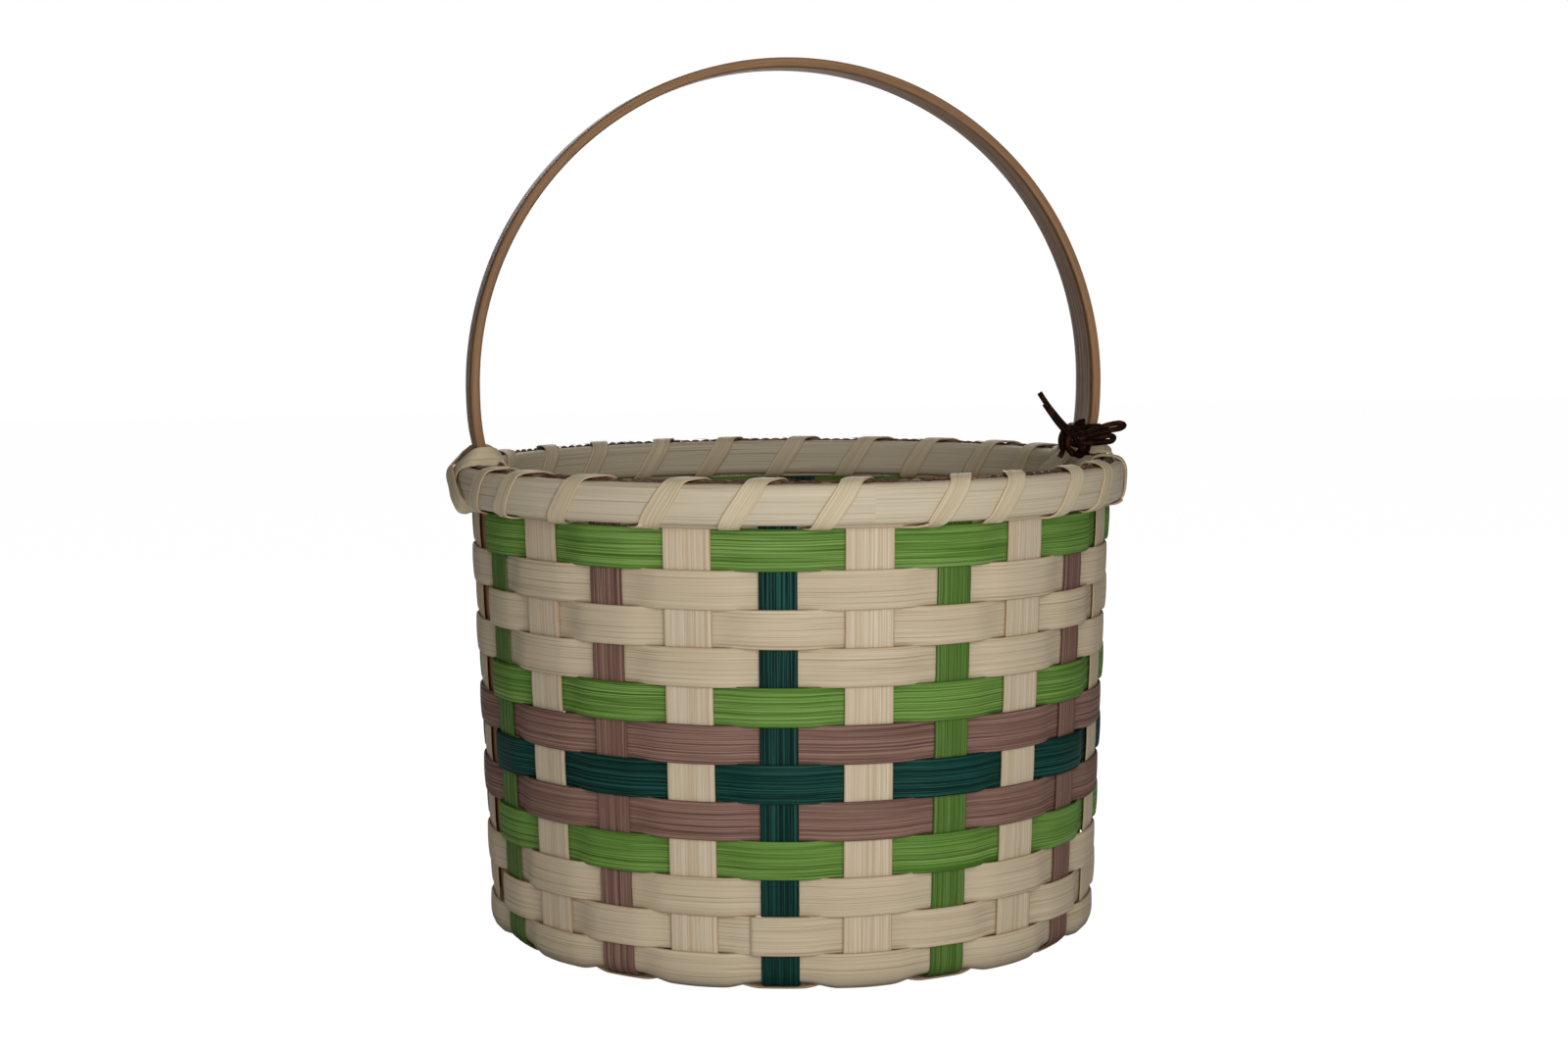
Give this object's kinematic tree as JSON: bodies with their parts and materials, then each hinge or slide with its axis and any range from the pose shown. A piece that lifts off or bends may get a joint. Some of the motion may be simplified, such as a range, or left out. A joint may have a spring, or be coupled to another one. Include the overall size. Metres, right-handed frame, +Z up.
{
  "type": "round basket",
  "caption": "Round woven reed basket with an arched oak handle, a lashed double rim and a cord bow, for carrying and display.",
  "frame": {"origin": "on the floor under the middle of the round base", "axes": "+Z up, the handle arches in the XZ plane, and the bow is on the +X leg"},
  "size_m": [0.2534, 0.2508, 0.3181],
  "materials": {
    "natural": "raw flat reed, satin",
    "lime": "dyed flat reed, satin",
    "mauve": "dyed flat reed, satin",
    "green": "dyed flat reed, satin",
    "oak": "bent oak, oiled",
    "seagrass": "twisted grass cord, matte",
    "waxed": "waxed cord, low gloss"
  },
  "bodies": {
    "root": {"natural_spoke_1": "natural", "natural_spoke_2": "natural", "natural_spoke_3": "natural", "natural_spoke_4": "natural", "natural_spoke_5": "natural", "natural_spoke_6": "natural", "lime_stake_1": "lime", "lime_stake_2": "lime", "lime_stake_3": "lime", "lime_stake_4": "lime", "mauve_stake_1": "mauve", "mauve_stake_2": "mauve", "mauve_stake_3": "mauve", "mauve_stake_4": "mauve", "green_stake_1": "green", "green_stake_2": "green", "green_stake_3": "green", "green_stake_4": "green", "wall_row_00": "natural", "wall_row_01": "lime", "wall_row_02": "natural", "wall_row_03": "natural", "wall_row_04": "natural", "wall_row_05": "lime", "wall_row_06": "mauve", "wall_row_07": "green", "wall_row_08": "mauve", "wall_row_09": "lime", "wall_row_10": "natural", "wall_row_11": "natural", "wall_row_12": "natural", "foot_row": "natural", "base_row_1": "natural", "base_row_2": "natural", "base_row_3": "natural", "base_row_4": "natural", "base_row_5": "natural", "base_row_6": "natural", "base_row_7": "natural", "base_row_8": "natural", "outer_rim": "natural", "inner_rim": "natural", "rim_filler_front": "seagrass", "rim_filler_back": "seagrass", "oak_handle": "oak", "rim_lashing_front": "natural", "rim_lashing_back": "natural", "bow_turns": "waxed", "bow_knot": "waxed", "bow_loop_upper": "waxed", "bow_loop_lower": "waxed", "bow_end_long": "waxed", "bow_end_short": "waxed"}
  },
  "joints": []
}
